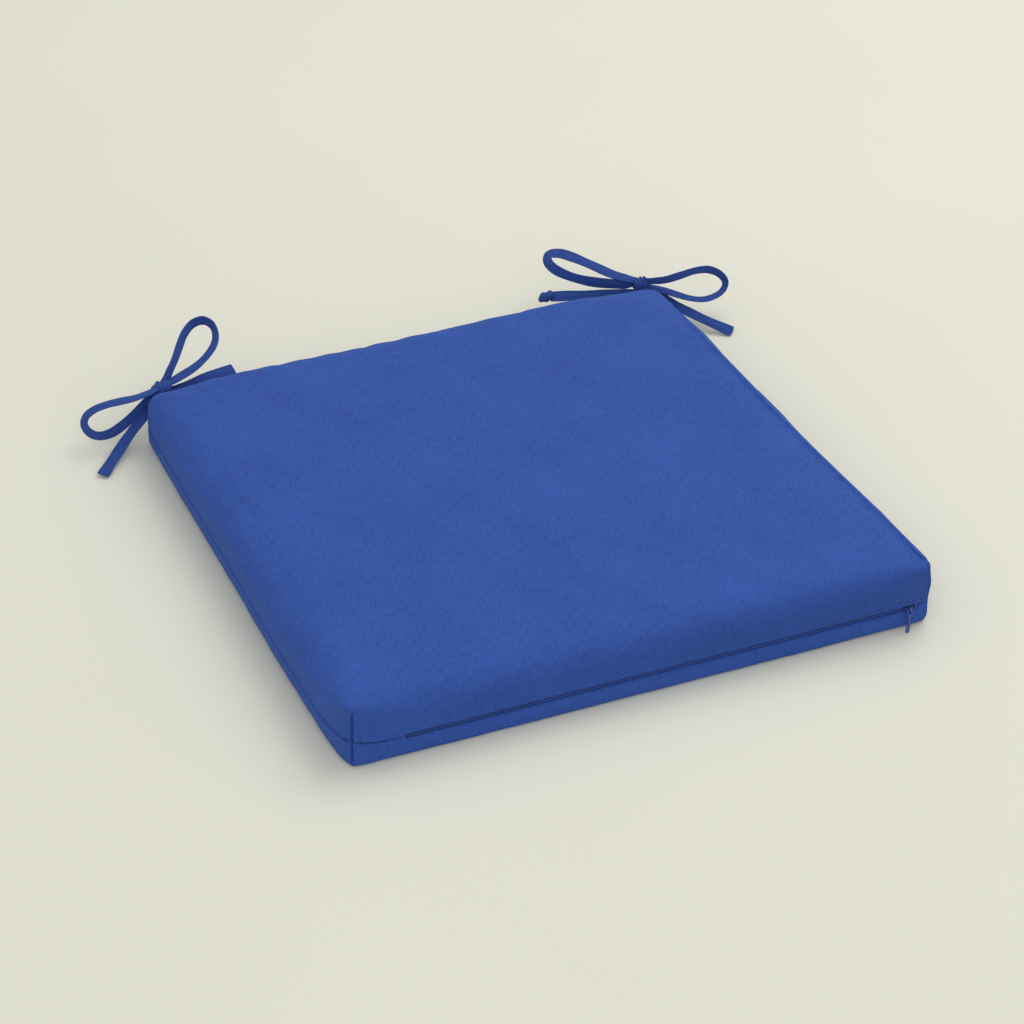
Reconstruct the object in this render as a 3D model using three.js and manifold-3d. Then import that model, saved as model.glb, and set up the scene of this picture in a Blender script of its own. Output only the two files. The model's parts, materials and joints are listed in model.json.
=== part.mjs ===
// Chair seat pad: a boxed-corner foam cushion in a two-panel cover, with a coil
// zip in the front seam and a strip tied in a bow at each back corner.
// Millimetres, +Z up. The origin is under the middle of the cushion, on the
// surface that it lies on; the front, with the zip, faces -Y.
import * as THREE from 'three';
import { mergeVertices } from 'three/addons/utils/BufferGeometryUtils.js';
import Module from 'manifold-3d';

const wasm = await Module();
wasm.setup();

// Cushion
const WIDTH = 432;
const DEPTH = 432;
const HEIGHT = 50;
const SEAM_Z = 16;
const FABRIC = 1.2;
const TOP_EDGE_R = 14;
const BOTTOM_EDGE_R = 6;
const FRONT_CORNER_R = 5;
const BACK_CORNER_R = 14;
const GAP = 0.3;

// Filling
const CORE_INSET = 5;
const CORE_CORNER_R = 8;
const WADDING_TOP_THICK = 8;
const WADDING_BOTTOM_THICK = 5;

// Zip, in the front seam
const ZIP_LEFT = -180;
const ZIP_RIGHT = 209.5;
const ZIP_OPENING = 5.6;
const COIL_WIDTH = 1.8;
const COIL_THICK = 2.4;
const COIL_SLIT = 1.2;
const COIL_FACE_Y = -DEPTH / 2;
const TAPE_WIDTH = 6.5;
const TAPE_THICK = 0.6;
const TAPE_BACK_Y = COIL_FACE_Y + 2.2;
const STOP_LENGTH = 1.6;
const BOTTOM_STOP_LENGTH = 2.5;
const SLIDER_X = 202.5;
const SLIDER_PLATE = { length: 6.5, width: 3.2, back: -216.3, front: -217.3 };
const SLIDER_FOOT = { length: 9, width: 4.4, back: -212.2, front: -213.2 };
const SLIDER_NECK = { length: 6, thick: 0.6 };
const BAIL = { outer: 2, inner: 1.2, leg: 1.3, thick: 1.6 };
const PIVOT_Y = SLIDER_PLATE.front - 1.1;
const PULL = { length: 15.8, width: 2.4, thick: 1, eyeWidth: 4.8, eyeLength: 3.4, bar: 1.2, arm: 1.1 };
const PULL_SLOT = { length: 2.6, width: 1 };
const PULL_TILT = THREE.MathUtils.degToRad(24);

// Ties: a soft flat strip
const STRIP_WIDTH = 8.6;
const STRIP_THICK = 2.4;
const SECTION_SIDES = 8;
const KNOT = { half: 6.6, radius: 5.7, bevel: 1.8 };
const END_KNOT = { x: 5.6, y: 4.2, z: 4.4 };

const COLOURS = {
  cover: 0x3b56a2,
  foam: 0xe8e2c8,
  wadding: 0xf2f2ee,
  tape: 0x2c3f80,
  coil: 0x2a3a78,
  metal: 0x33478c,
  strip: 0x344a94,
};

// Solids

function toSolid(geometry) {
  const plain = geometry.clone();
  plain.deleteAttribute('normal');
  plain.deleteAttribute('uv');
  const merged = mergeVertices(plain, 1e-4);
  return new wasm.Manifold(new wasm.Mesh({
    numProp: 3,
    vertProperties: new Float32Array(merged.attributes.position.array),
    triVerts: new Uint32Array(merged.index.array),
  }));
}

function toGeometry(solid) {
  const mesh = solid.getMesh();
  const geometry = new THREE.BufferGeometry();
  geometry.setAttribute('position', new THREE.BufferAttribute(mesh.vertProperties, 3));
  geometry.setIndex(new THREE.BufferAttribute(mesh.triVerts, 1));
  geometry.computeVertexNormals();
  return geometry;
}

// A block from its lowest to its highest corner.
function block(low, high) {
  const size = high.map((value, i) => value - low[i]);
  const middle = high.map((value, i) => (value + low[i]) / 2);
  return new THREE.BoxGeometry(...size).translate(...middle);
}

// The solid between two heights, wide enough to cut any part of the cushion.
function layer(lowZ, highZ) {
  return toSolid(block([-WIDTH, -DEPTH, lowZ], [WIDTH, DEPTH, highZ]));
}

// The cushion's plan, with tight front corners and rounder back corners.
function planOutline(inset, frontR, backR) {
  const x = WIDTH / 2 - inset;
  const y = DEPTH / 2 - inset;
  const shape = new THREE.Shape();
  shape.absarc(x - frontR, -y + frontR, frontR, -Math.PI / 2, 0);
  shape.absarc(x - backR, y - backR, backR, 0, Math.PI / 2);
  shape.absarc(-x + backR, y - backR, backR, Math.PI / 2, Math.PI);
  shape.absarc(-x + frontR, -y + frontR, frontR, Math.PI, 1.5 * Math.PI);
  return shape;
}

function prism(outline, lowZ, highZ) {
  const options = { depth: highZ - lowZ, bevelEnabled: false, curveSegments: 5 };
  return new THREE.ExtrudeGeometry(outline, options).translate(0, 0, lowZ);
}

// The whole cushion, drawn in from its skin by inset, with its long edges rounded.
function cushionBody(inset, edgeR) {
  const x = WIDTH / 2 - inset;
  const y = DEPTH / 2 - inset;
  const corners = [[-x, -y], [x, -y], [x, y], [-x, y]];
  const outline = new THREE.Shape(corners.map(([px, py]) => new THREE.Vector2(px, py)));
  const rounded = new THREE.ExtrudeGeometry(outline, {
    depth: HEIGHT - 2 * inset - 2 * edgeR,
    bevelThickness: edgeR,
    bevelSize: edgeR,
    bevelOffset: -edgeR,
    bevelSegments: 5,
  }).translate(0, 0, inset + edgeR);
  const plan = planOutline(inset, FRONT_CORNER_R - inset, BACK_CORNER_R - inset);
  return toSolid(rounded).intersect(toSolid(prism(plan, 0, HEIGHT)));
}

// One cover panel: the cushion's skin on one side of the seam, less the zip's opening.
function coverPanel(edgeR, lowZ, highZ) {
  const skin = cushionBody(0, edgeR).subtract(cushionBody(FABRIC, edgeR - FABRIC));
  const opening = block(
    [ZIP_LEFT - GAP, -DEPTH, SEAM_Z - ZIP_OPENING / 2],
    [ZIP_RIGHT, -DEPTH / 2 + 2 * FABRIC, SEAM_Z + ZIP_OPENING / 2],
  );
  return toGeometry(skin.intersect(layer(lowZ, highZ)).subtract(toSolid(opening)));
}

// Filling

const coreLowZ = FABRIC + GAP + WADDING_BOTTOM_THICK + GAP;
const coreHighZ = HEIGHT - FABRIC - GAP - WADDING_TOP_THICK - GAP;

function wadding(edgeR, lowZ, highZ) {
  const inset = FABRIC + GAP;
  return toGeometry(cushionBody(inset, edgeR - inset).intersect(layer(lowZ, highZ)));
}

function foamCore() {
  const outline = planOutline(CORE_INSET, CORE_CORNER_R, CORE_CORNER_R);
  return prism(outline, coreLowZ, coreHighZ);
}

// Zip

// A straight run along the zip, from one X to another, mirrored about the seam.
function zipRun(side, fromX, toX, nearZ, farZ, frontY, backY) {
  const z = [SEAM_Z + side * nearZ, SEAM_Z + side * farZ];
  return block([fromX, frontY, Math.min(...z)], [toX, backY, Math.max(...z)]);
}

const coilLeft = ZIP_LEFT + BOTTOM_STOP_LENGTH + GAP;
const coilRight = ZIP_RIGHT - STOP_LENGTH - 2 * GAP;
const coilNearZ = COIL_SLIT / 2;
const coilFarZ = COIL_SLIT / 2 + COIL_WIDTH;
const coilBackY = COIL_FACE_Y + COIL_THICK;

function zipCoil(side) {
  return zipRun(side, coilLeft, coilRight, coilNearZ, coilFarZ, COIL_FACE_Y, coilBackY);
}

function zipTape(side) {
  const nearZ = coilFarZ + GAP;
  const frontY = TAPE_BACK_Y - TAPE_THICK;
  return zipRun(side, ZIP_LEFT, ZIP_RIGHT, nearZ, nearZ + TAPE_WIDTH, frontY, TAPE_BACK_Y);
}

// The top stops narrow the slit, so that the slider's neck can't leave it.
function zipTopStop(side) {
  const fromX = coilRight + GAP;
  return zipRun(side, fromX, fromX + STOP_LENGTH, GAP / 2, coilFarZ, COIL_FACE_Y, coilBackY);
}

function zipBottomStop() {
  const low = [ZIP_LEFT, COIL_FACE_Y, SEAM_Z - coilFarZ];
  return block(low, [ZIP_LEFT + BOTTOM_STOP_LENGTH, coilBackY, SEAM_Z + coilFarZ]);
}

// A slab along X, with its width across the seam, centred on the seam's line.
function sliderSlab({ length, width, front, back }) {
  return toSolid(block([-length / 2, front, -width / 2], [length / 2, back, width / 2]));
}

// The arch that the pull hangs on, standing out from the slider's plate.
function sliderBail() {
  const arch = new THREE.Shape();
  arch.moveTo(BAIL.outer, -BAIL.leg);
  arch.lineTo(BAIL.outer, 0);
  arch.absarc(0, 0, BAIL.outer, 0, Math.PI);
  arch.lineTo(-BAIL.outer, -BAIL.leg);
  arch.lineTo(-BAIL.inner, -BAIL.leg);
  arch.lineTo(-BAIL.inner, 0);
  arch.absarc(0, 0, BAIL.inner, Math.PI, 0, true);
  arch.lineTo(BAIL.inner, -BAIL.leg);
  const options = { depth: BAIL.thick, bevelEnabled: false, curveSegments: 10 };
  const upright = new THREE.Matrix4().makeBasis(
    new THREE.Vector3(0, 0, 1),
    new THREE.Vector3(0, -1, 0),
    new THREE.Vector3(1, 0, 0),
  );
  return new THREE.ExtrudeGeometry(arch, options)
    .applyMatrix4(upright)
    .translate(-BAIL.thick / 2, PIVOT_Y, 0);
}

// A small plate outside the seam, a longer foot behind the coil, and a thin neck
// that runs in the slit between the coil's two halves.
function zipSlider() {
  const neck = sliderSlab({
    length: SLIDER_NECK.length,
    width: SLIDER_NECK.thick,
    front: (SLIDER_PLATE.front + SLIDER_PLATE.back) / 2,
    back: (SLIDER_FOOT.front + SLIDER_FOOT.back) / 2,
  });
  return toGeometry(sliderSlab(SLIDER_PLATE)
    .add(neck)
    .add(sliderSlab(SLIDER_FOOT))
    .add(toSolid(sliderBail())));
}

// A slim tab hanging down from its pivot: a window over the bail, then a narrow
// shank with a small slot at its end.
function zipPull() {
  const half = PULL.width / 2;
  const halfEye = PULL.eyeWidth / 2;
  const endZ = -PULL.length + half;
  const outline = new THREE.Shape();
  outline.moveTo(-halfEye, PULL.bar / 2);
  outline.lineTo(-halfEye, -PULL.eyeLength);
  outline.lineTo(-half, -PULL.eyeLength - PULL.width);
  outline.lineTo(-half, endZ);
  outline.absarc(0, endZ, half, Math.PI, 2 * Math.PI);
  outline.lineTo(half, -PULL.eyeLength - PULL.width);
  outline.lineTo(halfEye, -PULL.eyeLength);
  outline.lineTo(halfEye, PULL.bar / 2);

  const windowX = halfEye - PULL.arm;
  const window = new THREE.Path();
  window.moveTo(-windowX, -PULL.bar / 2);
  window.lineTo(windowX, -PULL.bar / 2);
  window.lineTo(windowX, -PULL.eyeLength + PULL.bar / 2);
  window.lineTo(-windowX, -PULL.eyeLength + PULL.bar / 2);

  const slotX = PULL_SLOT.width / 2;
  const slot = new THREE.Path();
  slot.absarc(0, endZ, slotX, Math.PI, 2 * Math.PI);
  slot.absarc(0, endZ + PULL_SLOT.length, slotX, 0, Math.PI);
  outline.holes.push(window, slot);

  const options = { depth: PULL.thick, bevelEnabled: false, curveSegments: 6 };
  return new THREE.ExtrudeGeometry(outline, options)
    .translate(0, 0, -PULL.thick / 2)
    .rotateX(Math.PI / 2);
}

// Ties

// A strip's middle line. Its flat side turns with the route: across the route
// and in the plane that facing is square to, then rolled about the route.
class StripRoute extends THREE.CatmullRomCurve3 {
  constructor(points, facing, roll) {
    super(points.map((point) => new THREE.Vector3(...point)), false, 'centripetal');
    this.facing = new THREE.Vector3(...facing).normalize();
    this.roll = THREE.MathUtils.degToRad(roll);
  }

  computeFrenetFrames(steps) {
    const frames = { tangents: [], normals: [], binormals: [] };
    for (let i = 0; i <= steps; i += 1) {
      const tangent = this.getTangentAt(i / steps);
      const across = new THREE.Vector3().crossVectors(this.facing, tangent).normalize();
      across.applyAxisAngle(tangent, this.roll);
      frames.tangents.push(tangent);
      frames.normals.push(across);
      frames.binormals.push(new THREE.Vector3().crossVectors(tangent, across));
    }
    return frames;
  }
}

function stripSection() {
  const points = [];
  for (let i = 0; i < SECTION_SIDES; i += 1) {
    const angle = (2 * Math.PI * (i + 0.5)) / SECTION_SIDES;
    const reach = 1 / Math.cos(Math.PI / SECTION_SIDES);
    const x = (STRIP_WIDTH / 2) * reach * Math.cos(angle);
    const y = (STRIP_THICK / 2) * reach * Math.sin(angle);
    points.push(new THREE.Vector2(x, y));
  }
  return new THREE.Shape(points);
}

// A bow's knot: a barrel along X, with flat ends that the loops and tails meet.
function bowKnot() {
  const { half, radius, bevel } = KNOT;
  const profile = [
    [0, -half], [radius - bevel, -half], [radius, bevel - half],
    [radius, half - bevel], [radius - bevel, half], [0, half],
  ];
  const points = profile.map(([x, y]) => new THREE.Vector2(x, y));
  return new THREE.LatheGeometry(points, 16).rotateZ(Math.PI / 2);
}

function endKnot(grow = 0) {
  return new THREE.SphereGeometry(1, 12, 8)
    .rotateX(Math.PI / 2)
    .scale(END_KNOT.x + grow, END_KNOT.y + grow, END_KNOT.z + grow);
}

const LEFT_KNOT = [-193, 229, 32];
const RIGHT_KNOT = [205.5, 230.5, 32];
const INNER_END_KNOT = [134.5, 252.5, 24.5];

// The space that loops and tails leave for the knots.
function knotClearance() {
  const around = (centre) => toSolid(block(
    centre.map((value, i) => value - [KNOT.half + GAP, WIDTH, HEIGHT][i]),
    centre.map((value, i) => value + [KNOT.half + GAP, WIDTH, HEIGHT][i]),
  ));
  return around(LEFT_KNOT)
    .add(around(RIGHT_KNOT))
    .add(toSolid(endKnot(GAP).translate(...INNER_END_KNOT)));
}

const clearance = knotClearance();

function sweptStrip({ route, facing, roll = 0, steps }) {
  const path = new StripRoute(route, facing, roll);
  const options = { extrudePath: path, steps, bevelEnabled: false };
  return new THREE.ExtrudeGeometry(stripSection(), options);
}

// The short lengths from the back seam up to the knots, one behind the other.
const STEM_STEPS = 4;
const STEMS = {
  left_front_stem: [
    [-193.5, 217.3, 18], [-193.5, 219.5, 19.7], [-193.5, 221, 24], [-193.5, 222, 30],
  ],
  left_rear_stem: [
    [-193.5, 217.3, 14.9], [-193.5, 221.3, 16.6], [-193.5, 224, 21], [-193.5, 225.5, 26.5],
  ],
  right_inner_stem: [
    [206, 217.3, 18], [206, 220, 19.9], [206, 222.2, 24.5], [206, 223.5, 30],
  ],
  right_outer_stem: [
    [206, 217.3, 14.9], [206, 222, 16.8], [206, 225.3, 21], [206, 227, 26.5],
  ],
};

// The loops and tails of the two bows.
const STRIPS = {
  left_front_loop: {
    route: [
      [-195, 227.5, 34.3], [-199.5, 224.8, 35.3], [-206, 221, 36.2], [-217, 218, 36.5],
      [-228, 218.5, 36], [-238, 222.5, 33], [-247, 226, 28.5], [-253, 226.5, 24],
      [-255.5, 224.5, 19.5], [-254.5, 221, 15.5], [-251, 217.5, 12.7], [-246, 215.5, 11.6],
      [-238, 215.5, 12], [-229, 217.5, 14.5], [-219, 220, 19.5], [-210, 222.5, 24.5],
      [-201, 225.5, 28.7], [-195, 227.5, 30.9],
    ],
    facing: [0, -1, 0.25],
    roll: 70,
    steps: 13,
  },
  left_front_tail: {
    route: [
      [-195.5, 227.8, 26.4], [-201, 225, 23.4], [-207, 222, 20], [-214, 217, 16.5],
      [-223, 210.5, 12.8], [-233, 202, 9], [-245, 191, 5], [-257, 178, 2.8],
    ],
    facing: [0, 0, 1],
    steps: 6,
  },
  left_rear_loop: {
    route: [
      [-190.5, 231, 34.3], [-185, 236, 37.8], [-176, 246, 43], [-167.5, 257.5, 47.5],
      [-159.5, 268, 51], [-150.5, 275, 53.5], [-142, 276, 54], [-137.5, 269.5, 53],
      [-138, 259.5, 50.5], [-143, 249.5, 47.5], [-151.5, 242, 44], [-163, 236.5, 40],
      [-175, 234, 36.5], [-184, 232.5, 34], [-190.5, 231, 33],
    ],
    facing: [-0.3, -0.35, 0.88],
    roll: 30,
    steps: 14,
  },
  left_rear_tail: {
    route: [
      [-190, 229.5, 25.8], [-183, 231.5, 25.8], [-168, 235.5, 26], [-154, 240.5, 25.4],
      [-140, 246.5, 23.5], [-127, 252, 20.5],
    ],
    facing: [0, 0, 1],
    steps: 5,
  },
  right_inner_loop: {
    route: [
      [203, 231.5, 34.3], [196.5, 234, 36.8], [186, 240.5, 39.5], [174.5, 253.5, 43],
      [163.5, 267.5, 45.5], [155, 276, 46.5], [148, 278.5, 45.5], [144.5, 274, 43],
      [146.5, 265.5, 40], [154, 256.5, 37.2], [165, 248, 34.8], [179, 240.5, 33.2],
      [194, 234, 32.6], [203, 231.5, 33],
    ],
    facing: [-0.3, -0.35, 0.88],
    roll: 30,
    steps: 14,
  },
  right_inner_tail: {
    route: [
      [202.5, 230, 25.6], [196, 231.5, 25.3], [183, 235.5, 25.2], [171, 239.5, 25.2],
      [158.5, 244, 25], [144, 249, 24.7], [137, 251.4, 24.5],
    ],
    facing: [0, 0, 1],
    steps: 5,
  },
  right_outer_loop: {
    route: [
      [208, 229, 34.3], [213, 225, 36], [221.5, 221, 37.3], [235, 221, 38.3],
      [250.5, 223.5, 38], [262, 224.5, 35.5], [270, 221, 31.5], [272.5, 216, 27],
      [268.5, 211.5, 23], [260.5, 209, 20.5], [250, 208.5, 20], [239.5, 211, 22],
      [230.5, 215, 25], [221.5, 220, 28], [213, 225, 30.2], [208, 228.5, 30.9],
    ],
    facing: [0, -1, 0.25],
    roll: 70,
    steps: 13,
  },
  right_outer_tail: {
    route: [
      [208.5, 228.8, 27.4], [214.5, 224, 25], [221.5, 217.5, 21.5], [229, 210.5, 17],
      [237, 204, 13], [250.5, 192.5, 7], [262.5, 181.5, 2.8],
    ],
    facing: [0, 0, 1],
    steps: 6,
  },
};

// Assembly

const group = new THREE.Group();

function add(name, geometry, color, roughness, metalness = 0) {
  const material = new THREE.MeshStandardMaterial({ color, roughness, metalness });
  const mesh = new THREE.Mesh(geometry, material);
  mesh.name = name;
  group.add(mesh);
  return mesh;
}

add('cover_top', coverPanel(TOP_EDGE_R, SEAM_Z + GAP / 2, HEIGHT + 1), COLOURS.cover, 0.9);
add('cover_bottom', coverPanel(BOTTOM_EDGE_R, -1, SEAM_Z - GAP / 2), COLOURS.cover, 0.9);
add('foam_core', foamCore(), COLOURS.foam, 1);
add('wadding_top', wadding(TOP_EDGE_R, coreHighZ + GAP, HEIGHT), COLOURS.wadding, 1);
add('wadding_bottom', wadding(BOTTOM_EDGE_R, 0, coreLowZ - GAP), COLOURS.wadding, 1);

for (const [side, sign] of [['upper', 1], ['lower', -1]]) {
  add(`zip_tape_${side}`, zipTape(sign), COLOURS.tape, 0.85);
  add(`zip_coil_${side}`, zipCoil(sign), COLOURS.coil, 0.5);
  add(`zip_top_stop_${side}`, zipTopStop(sign), COLOURS.metal, 0.4, 0.6);
}
add('zip_bottom_stop', zipBottomStop(), COLOURS.metal, 0.4, 0.6);

const slider = add('zip_slider', zipSlider(), COLOURS.metal, 0.4, 0.6);
slider.position.set(SLIDER_X, 0, SEAM_Z);
const pull = add('zip_pull', zipPull(), COLOURS.metal, 0.4, 0.6);
pull.position.set(SLIDER_X, PIVOT_Y, SEAM_Z);
pull.rotation.x = -PULL_TILT;

const strip = (name, geometry) => add(name, geometry, COLOURS.strip, 0.9);
strip('left_knot', bowKnot()).position.set(...LEFT_KNOT);
strip('right_knot', bowKnot()).position.set(...RIGHT_KNOT);
strip('right_inner_end_knot', endKnot()).position.set(...INNER_END_KNOT);
for (const [name, route] of Object.entries(STEMS)) {
  strip(name, sweptStrip({ route, facing: [0, 0, 1], steps: STEM_STEPS }));
}
for (const [name, shape] of Object.entries(STRIPS)) {
  strip(name, toGeometry(toSolid(sweptStrip(shape)).subtract(clearance)));
}

export default group;
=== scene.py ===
"""The looks of the chair seat pad: its padded cover, zip and bows, in metres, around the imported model."""
import json
import math

import bmesh
import bpy
import numpy as np
from mathutils import Matrix, Vector, kdtree


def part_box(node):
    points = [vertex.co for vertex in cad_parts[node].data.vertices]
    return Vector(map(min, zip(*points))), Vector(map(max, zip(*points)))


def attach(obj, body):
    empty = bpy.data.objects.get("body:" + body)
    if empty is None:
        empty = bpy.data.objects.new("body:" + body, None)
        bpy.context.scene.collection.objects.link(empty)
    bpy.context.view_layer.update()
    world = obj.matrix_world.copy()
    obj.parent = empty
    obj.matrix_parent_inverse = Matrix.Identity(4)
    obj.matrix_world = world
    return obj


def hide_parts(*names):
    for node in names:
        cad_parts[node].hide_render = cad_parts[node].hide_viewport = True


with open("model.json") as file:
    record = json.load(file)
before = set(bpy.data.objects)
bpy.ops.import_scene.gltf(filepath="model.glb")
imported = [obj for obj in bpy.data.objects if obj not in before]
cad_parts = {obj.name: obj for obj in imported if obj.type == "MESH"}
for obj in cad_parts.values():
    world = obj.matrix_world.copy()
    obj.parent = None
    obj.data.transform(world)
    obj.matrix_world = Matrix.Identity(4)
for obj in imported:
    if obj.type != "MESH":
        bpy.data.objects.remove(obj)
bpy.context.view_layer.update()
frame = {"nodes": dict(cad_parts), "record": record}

MM = 0.001
ROOT = "cushion"

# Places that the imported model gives
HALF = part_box("cover_top")[1].x
ZIP_LEFT, ZIP_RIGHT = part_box("zip_tape_upper")[0].x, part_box("zip_tape_upper")[1].x
ZIP_Z = (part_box("zip_coil_lower")[0].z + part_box("zip_coil_upper")[1].z) / 2


def smooth(low, high, value):
    """0 below low, 1 above high, and an even S between them."""
    t = np.clip((value - low) / (high - low), 0, 1)
    return t * t * (3 - 2 * t)


def hump(distance, width, power=2):
    """1 where the distance is 0, falling to nothing a few widths away."""
    return np.exp(-((distance / width) ** power))


def curve_through(points, place, free=False):
    """The value at each place of a smooth curve through a few (place, value) points.
    It never swings past the points' own values, unless it is free to."""
    xs, ys = np.array(points, float).T
    rises = np.diff(ys) / np.diff(xs)
    before, after = np.append(rises[0], rises), np.append(rises, rises[-1])
    together = before * after > 0
    slopes = np.where(together, 2 * before * after / np.where(together, before + after, 1), 0)
    if free:
        slopes = np.gradient(ys, xs)
    place = np.clip(place, xs[0], xs[-1])
    i = np.clip(np.searchsorted(xs, place) - 1, 0, len(xs) - 2)
    width = xs[i + 1] - xs[i]
    t = (place - xs[i]) / width
    rise = t * t * (3 - 2 * t)
    bend = width * (slopes[i] * t * (1 - t) ** 2 - slopes[i + 1] * t * t * (1 - t))
    return ys[i] + (ys[i + 1] - ys[i]) * rise + bend


# Camera, floor and light

CAMERA = {"yaw": 24.093, "pitch": 34.268, "roll": 0.844, "distance": 2.7429, "lens": 134.09}
CAMERA_TARGET = Vector((-0.0111, -0.0126, 0.025))
FLOOR_REACH = 6
# Each lamp's place, size, power and colour; all of them point at the origin
LAMPS = {
    "key": ((1.8, 0.9, 2.6), (2.6, 2.6), 44.5, (1, 0.985, 0.96)),
    "fill": ((-1.2, -3.0, 2.0), (3, 2), 32, (0.97, 0.985, 1)),
}
SKY_COLOUR, SKY_STRENGTH = (0.93, 0.95, 1, 1), 0.68


def make_camera():
    yaw, pitch, roll = (math.radians(CAMERA[k]) for k in ("yaw", "pitch", "roll"))
    ahead = Vector((math.sin(yaw) * math.cos(pitch), math.cos(yaw) * math.cos(pitch), -math.sin(pitch)))
    level = Vector((math.cos(yaw), -math.sin(yaw), 0))
    upright = level.cross(ahead)
    right = math.cos(roll) * level + math.sin(roll) * upright
    up = -math.sin(roll) * level + math.cos(roll) * upright
    camera = bpy.data.objects.new("camera", bpy.data.cameras.new("camera"))
    bpy.context.scene.collection.objects.link(camera)
    camera.data.sensor_width = 36
    camera.data.lens = CAMERA["lens"]
    camera.data.clip_end = 20
    turn = Matrix((right, up, -ahead)).transposed().to_4x4()
    camera.matrix_world = Matrix.Translation(CAMERA_TARGET - ahead * CAMERA["distance"]) @ turn
    bpy.context.scene.camera = camera


def make_light(name, place, size, power, colour):
    lamp = bpy.data.objects.new(name, bpy.data.lights.new(name, "AREA"))
    lamp.data.shape = "RECTANGLE"
    lamp.data.size, lamp.data.size_y = size
    lamp.data.energy = power
    lamp.data.color = colour
    lamp.location = place
    lamp.rotation_euler = (-Vector(place)).to_track_quat("-Z", "Y").to_euler()
    bpy.context.scene.collection.objects.link(lamp)


def make_studio():
    floor_mesh = bpy.data.meshes.new("floor")
    corners = [(x * FLOOR_REACH, y * FLOOR_REACH, 0) for x, y in ((-1, -1), (1, -1), (1, 1), (-1, 1))]
    floor_mesh.from_pydata(corners, [], [(0, 1, 2, 3)])
    floor = bpy.data.objects.new("floor", floor_mesh)
    bpy.context.scene.collection.objects.link(floor)
    floor_mesh.materials.append(floor_material())
    for name, lamp in LAMPS.items():
        make_light(name, *lamp)
    world = bpy.data.worlds.new("studio")
    world.use_nodes = True
    sky = world.node_tree.nodes["Background"].inputs
    sky["Color"].default_value = SKY_COLOUR
    sky["Strength"].default_value = SKY_STRENGTH
    bpy.context.scene.world = world
    bpy.context.scene.view_settings.view_transform = "Standard"


# Materials


class Nodes:
    """A material's node tree, built by short calls."""

    def __init__(self, name):
        self.material = bpy.data.materials.new(name)
        self.material.use_nodes = True
        self.tree = self.material.node_tree
        self.shader = self.tree.nodes["Principled BSDF"]

    def add(self, kind, settings=None, **inputs):
        node = self.tree.nodes.new("ShaderNode" + kind)
        for key, value in (settings or {}).items():
            setattr(node, key, value)
        for key, value in inputs.items():
            self.feed(node, key.replace("_", " "), value)
        return node

    def feed(self, node, key, value):
        socket = node.inputs[int(key)] if key.isdigit() else node.inputs[key]
        if isinstance(value, bpy.types.NodeSocket):
            self.tree.links.new(value, socket)
        else:
            socket.default_value = value

    def maths(self, operation, a, b):
        node = self.tree.nodes.new("ShaderNodeMath")
        node.operation = operation
        self.feed(node, "0", a)
        self.feed(node, "1", b)
        return node.outputs[0]

    def total(self, *parts):
        """The sum of some values, each times its share."""
        terms = [self.maths("MULTIPLY", value, share) for value, share in parts]
        whole = terms[0]
        for term in terms[1:]:
            whole = self.maths("ADD", whole, term)
        return whole

    def ramp(self, value, low, high):
        """Value from 0 to 1 as a colour between low and high."""
        node = self.tree.nodes.new("ShaderNodeMix")
        node.data_type = "RGBA"
        self.feed(node, "0", value)
        self.feed(node, "6", (*low, 1))
        self.feed(node, "7", (*high, 1))
        return node.outputs[2]

    def ranged(self, value, before, after):
        """Value, with its range before stretched to the range after and held at its ends."""
        node = self.add("MapRange", {"clamp": True}, Value=value)
        for key, end in zip(("From Min", "From Max", "To Min", "To Max"), (*before, *after)):
            self.feed(node, key, end)
        return node.outputs[0]

    def noise(self, place, scale, detail):
        return self.add("TexNoise", None, Vector=place, Scale=scale, Detail=detail).outputs["Fac"]

    def bump(self, height, distance):
        return self.add("Bump", None, Height=height, Distance=distance, Strength=1.0).outputs["Normal"]


def shade(colour, factor):
    return tuple(min(1, channel * factor) for channel in colour)


FLOOR_DARK, FLOOR_LIGHT = (0.735, 0.722, 0.605), (0.77, 0.757, 0.64)


def floor_material():
    """Plain pale paper, with faint clouds of shade."""
    n = Nodes("paper_floor")
    place = n.add("TexCoord").outputs["Object"]
    cloud = n.noise(place, 2.2, 2.0)
    n.feed(n.shader, "Base Color", n.ramp(cloud, FLOOR_DARK, FLOOR_LIGHT))
    n.feed(n.shader, "Roughness", 0.9)
    n.feed(n.shader, "Specular IOR Level", 0.15)
    return n.material


FABRIC_BLUE = (0.0330, 0.0860, 0.350)
STRIP_BLUE = (0.0300, 0.0700, 0.275)
RIB_TURN, SLUB_TURN = math.radians(-30), math.radians(20)
# A wave texture's scale, times the distance between its bands in metres
BAND_SCALE = 0.314
# Slubs per metre along and across the cloth, for the two sets of yarns
LONG_SLUBS, CROSS_SLUBS = (760, 130, 1), (110, 800, 1)
# How strongly the ribs show where the cloth is pressed flat, and on the walls
FLAT_RIBS, WALL_RIBS, WALL_FADE = 0.22, 2.5, 0.014
# The ribs fade from the pad's right to its left, between these places along it
RIB_ENDS, RIB_LEAST = (-0.10, 0.15), 0.6
SHADES = (0.46, 1.54)
FIBRE_SHEEN = {
    "Specular IOR Level": 0.12,
    "Sheen Weight": 0.08,
    "Sheen Roughness": 0.45,
    "Sheen Tint": (0.45, 0.6, 1, 1),
}


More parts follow.
